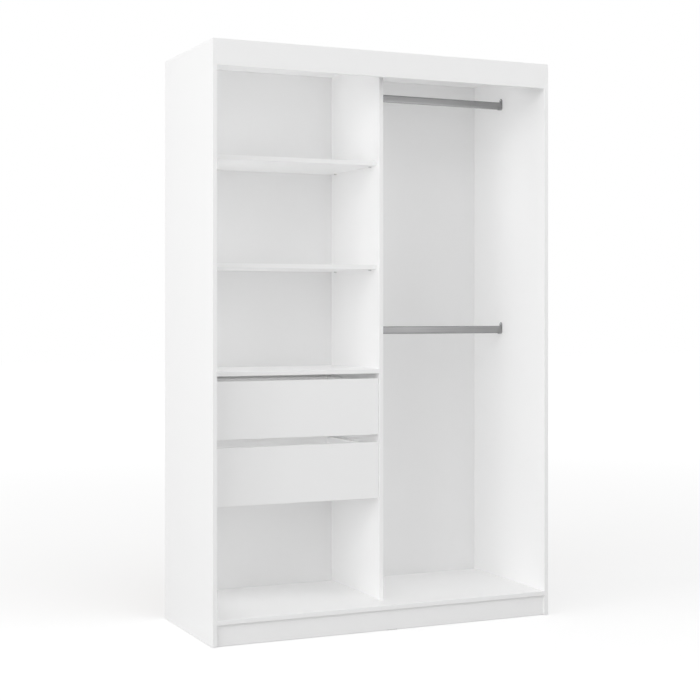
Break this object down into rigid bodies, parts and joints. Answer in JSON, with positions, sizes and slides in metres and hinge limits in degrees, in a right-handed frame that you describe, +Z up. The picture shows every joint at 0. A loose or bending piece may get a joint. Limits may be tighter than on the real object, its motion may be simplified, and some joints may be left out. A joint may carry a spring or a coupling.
{
  "type": "wardrobe",
  "caption": "White wardrobe carcase for sliding doors: shelves and drawers on roller runners left of a divider, hanging rails with cup brackets right of it",
  "frame": {"origin": "on the floor under the middle of the overall box", "axes": "+X to the right, seen from the front; +Y to the back; +Z up"},
  "size_m": [1.36, 0.6, 2.15],
  "materials": {
    "white_board": "white melamine on chipboard, satin",
    "white_sheet": "white lacquered hardboard, satin",
    "rail_steel": "satin grey plate",
    "runner_steel": "white powder coat",
    "roller_plastic": "matt",
    "track_aluminium": "natural anodised",
    "zinc_fittings": "bright zinc plate",
    "dowel_wood": "plain beech",
    "glide_plastic": "matt"
  },
  "bodies": {
    "carcase": {"left_side_panel": "white_board", "right_side_panel": "white_board", "top_panel": "white_board", "floor_panel": "white_board", "centre_divider": "white_board", "top_fascia": "white_board", "front_plinth": "white_board", "rear_plinth": "white_board", "left_back_panel": "white_sheet", "right_back_panel": "white_sheet", "drawer_top_shelf": "white_board", "middle_shelf": "white_board", "upper_shelf": "white_board", "shelf_pins": "zinc_fittings", "upper_hanging_rail": "rail_steel", "lower_hanging_rail": "rail_steel", "upper_rail_left_bracket": "rail_steel", "upper_rail_right_bracket": "rail_steel", "lower_rail_left_bracket": "rail_steel", "lower_rail_right_bracket": "rail_steel", "rail_bracket_screws": "zinc_fittings", "door_top_track": "track_aluminium", "track_screws": "zinc_fittings", "cam_locks": "zinc_fittings", "cam_bolts": "zinc_fittings", "dowels": "dowel_wood", "floor_glides": "glide_plastic", "cabinet_runner_screws": "zinc_fittings", "upper_drawer_left_cabinet_runner": "runner_steel", "upper_drawer_right_cabinet_runner": "runner_steel", "lower_drawer_left_cabinet_runner": "runner_steel", "lower_drawer_right_cabinet_runner": "runner_steel"},
    "upper_drawer": {"upper_drawer_front": "white_board", "upper_drawer_left_side": "white_board", "upper_drawer_right_side": "white_board", "upper_drawer_back": "white_board", "upper_drawer_bottom": "white_sheet", "upper_drawer_dowels": "dowel_wood", "upper_drawer_left_runner": "runner_steel", "upper_drawer_right_runner": "runner_steel", "upper_drawer_runner_screws": "zinc_fittings"},
    "lower_drawer": {"lower_drawer_front": "white_board", "lower_drawer_left_side": "white_board", "lower_drawer_right_side": "white_board", "lower_drawer_back": "white_board", "lower_drawer_bottom": "white_sheet", "lower_drawer_dowels": "dowel_wood", "lower_drawer_left_runner": "runner_steel", "lower_drawer_right_runner": "runner_steel", "lower_drawer_runner_screws": "zinc_fittings"},
    "upper_drawer_left_front_roller_body": {"upper_drawer_left_front_roller": "roller_plastic"},
    "upper_drawer_right_front_roller_body": {"upper_drawer_right_front_roller": "roller_plastic"},
    "upper_drawer_left_rear_roller_body": {"upper_drawer_left_rear_roller": "roller_plastic"},
    "upper_drawer_right_rear_roller_body": {"upper_drawer_right_rear_roller": "roller_plastic"},
    "lower_drawer_left_front_roller_body": {"lower_drawer_left_front_roller": "roller_plastic"},
    "lower_drawer_right_front_roller_body": {"lower_drawer_right_front_roller": "roller_plastic"},
    "lower_drawer_left_rear_roller_body": {"lower_drawer_left_rear_roller": "roller_plastic"},
    "lower_drawer_right_rear_roller_body": {"lower_drawer_right_rear_roller": "roller_plastic"}
  },
  "joints": [
    {"name": "upper_drawer_slide", "type": "slide", "parent": "carcase", "child": "upper_drawer", "axis": [0, -1, 0], "range_m": [0, 0.345]},
    {"name": "upper_drawer_left_front_roller_turn", "type": "hinge", "parent": "carcase", "child": "upper_drawer_left_front_roller_body", "pos_m": [-0.6586, -0.143, 0.7423], "axis": [1, 0, 0], "range_deg": [-10, 2000]},
    {"name": "upper_drawer_right_front_roller_turn", "type": "hinge", "parent": "carcase", "child": "upper_drawer_right_front_roller_body", "pos_m": [0.0066, -0.143, 0.7423], "axis": [1, 0, 0], "range_deg": [-10, 2000]},
    {"name": "upper_drawer_left_rear_roller_turn", "type": "hinge", "parent": "upper_drawer", "child": "upper_drawer_left_rear_roller_body", "pos_m": [-0.6569, 0.2763, 0.7403], "axis": [1, 0, 0], "range_deg": [-10, 2000]},
    {"name": "upper_drawer_right_rear_roller_turn", "type": "hinge", "parent": "upper_drawer", "child": "upper_drawer_right_rear_roller_body", "pos_m": [0.0049, 0.2763, 0.7403], "axis": [1, 0, 0], "range_deg": [-10, 2000]},
    {"name": "lower_drawer_slide", "type": "slide", "parent": "carcase", "child": "lower_drawer", "axis": [0, -1, 0], "range_m": [0, 0.345]},
    {"name": "lower_drawer_left_front_roller_turn", "type": "hinge", "parent": "carcase", "child": "lower_drawer_left_front_roller_body", "pos_m": [-0.6586, -0.143, 0.5013], "axis": [1, 0, 0], "range_deg": [-10, 2000]},
    {"name": "lower_drawer_right_front_roller_turn", "type": "hinge", "parent": "carcase", "child": "lower_drawer_right_front_roller_body", "pos_m": [0.0066, -0.143, 0.5013], "axis": [1, 0, 0], "range_deg": [-10, 2000]},
    {"name": "lower_drawer_left_rear_roller_turn", "type": "hinge", "parent": "lower_drawer", "child": "lower_drawer_left_rear_roller_body", "pos_m": [-0.6569, 0.2763, 0.4993], "axis": [1, 0, 0], "range_deg": [-10, 2000]},
    {"name": "lower_drawer_right_rear_roller_turn", "type": "hinge", "parent": "lower_drawer", "child": "lower_drawer_right_rear_roller_body", "pos_m": [0.0049, 0.2763, 0.4993], "axis": [1, 0, 0], "range_deg": [-10, 2000]}
  ],
  "couplings": [
    {"joint": "upper_drawer_left_front_roller_turn", "follows": "upper_drawer_slide", "rad_per_m": 100},
    {"joint": "upper_drawer_right_front_roller_turn", "follows": "upper_drawer_slide", "rad_per_m": 100},
    {"joint": "upper_drawer_left_rear_roller_turn", "follows": "upper_drawer_slide", "rad_per_m": 100},
    {"joint": "upper_drawer_right_rear_roller_turn", "follows": "upper_drawer_slide", "rad_per_m": 100},
    {"joint": "lower_drawer_left_front_roller_turn", "follows": "lower_drawer_slide", "rad_per_m": 100},
    {"joint": "lower_drawer_right_front_roller_turn", "follows": "lower_drawer_slide", "rad_per_m": 100},
    {"joint": "lower_drawer_left_rear_roller_turn", "follows": "lower_drawer_slide", "rad_per_m": 100},
    {"joint": "lower_drawer_right_rear_roller_turn", "follows": "lower_drawer_slide", "rad_per_m": 100}
  ]
}
